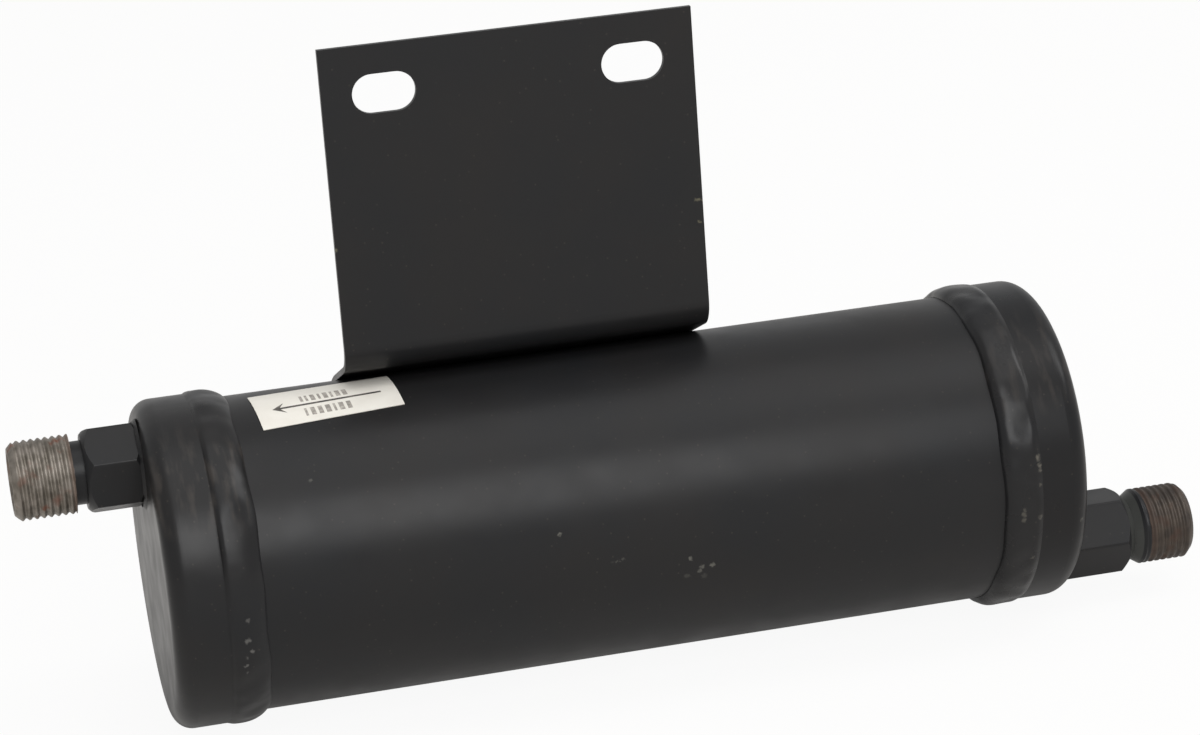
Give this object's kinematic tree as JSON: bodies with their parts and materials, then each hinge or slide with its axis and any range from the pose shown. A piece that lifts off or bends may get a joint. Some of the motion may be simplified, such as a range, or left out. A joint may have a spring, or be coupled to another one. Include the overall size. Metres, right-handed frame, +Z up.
{
  "type": "receiver drier",
  "caption": "Cylindrical steel receiver drier with pressed end caps, off-centre threaded hexagon unions, a flow label and a bent slotted bracket.",
  "frame": {"origin": "on the bracket's rear mounting face, midway between its slots", "axes": "+X along the vessel towards the inlet, +Y out of the mounting face, +Z up the bracket"},
  "size_m": [0.242, 0.068, 0.1353],
  "materials": {
    "black_paint": "satin black paint",
    "bracket_paint": "satin black paint",
    "outlet_union_steel": "turned steel, painted up to the thread",
    "inlet_union_steel": "turned steel, painted up to the thread, thread browned",
    "label_film": "matt film",
    "pressed_steel": "bare pressed steel",
    "wire_gauze": "woven wire",
    "fibre_felt": "felt",
    "desiccant": "packed beads",
    "spring_steel": "drawn wire",
    "drawn_steel": "drawn tube",
    "braze": "brazing alloy"
  },
  "bodies": {
    "root": {"shell_tube": "black_paint", "outlet_cap": "black_paint", "inlet_cap": "black_paint", "outlet_cap_weld": "black_paint", "inlet_cap_weld": "black_paint", "outlet_fitting": "outlet_union_steel", "inlet_fitting": "inlet_union_steel", "outlet_fitting_weld": "black_paint", "inlet_fitting_weld": "black_paint", "bracket": "bracket_paint", "bracket_weld_left": "bracket_paint", "bracket_weld_right": "bracket_paint", "flow_label": "label_film", "outlet_cup": "pressed_steel", "inlet_plate": "pressed_steel", "outlet_screen": "wire_gauze", "inlet_screen": "wire_gauze", "outlet_pad": "fibre_felt", "inlet_pad": "fibre_felt", "desiccant_bed": "desiccant", "inlet_spring": "spring_steel", "pickup_tube": "drawn_steel", "pickup_tube_braze": "braze"}
  },
  "joints": []
}
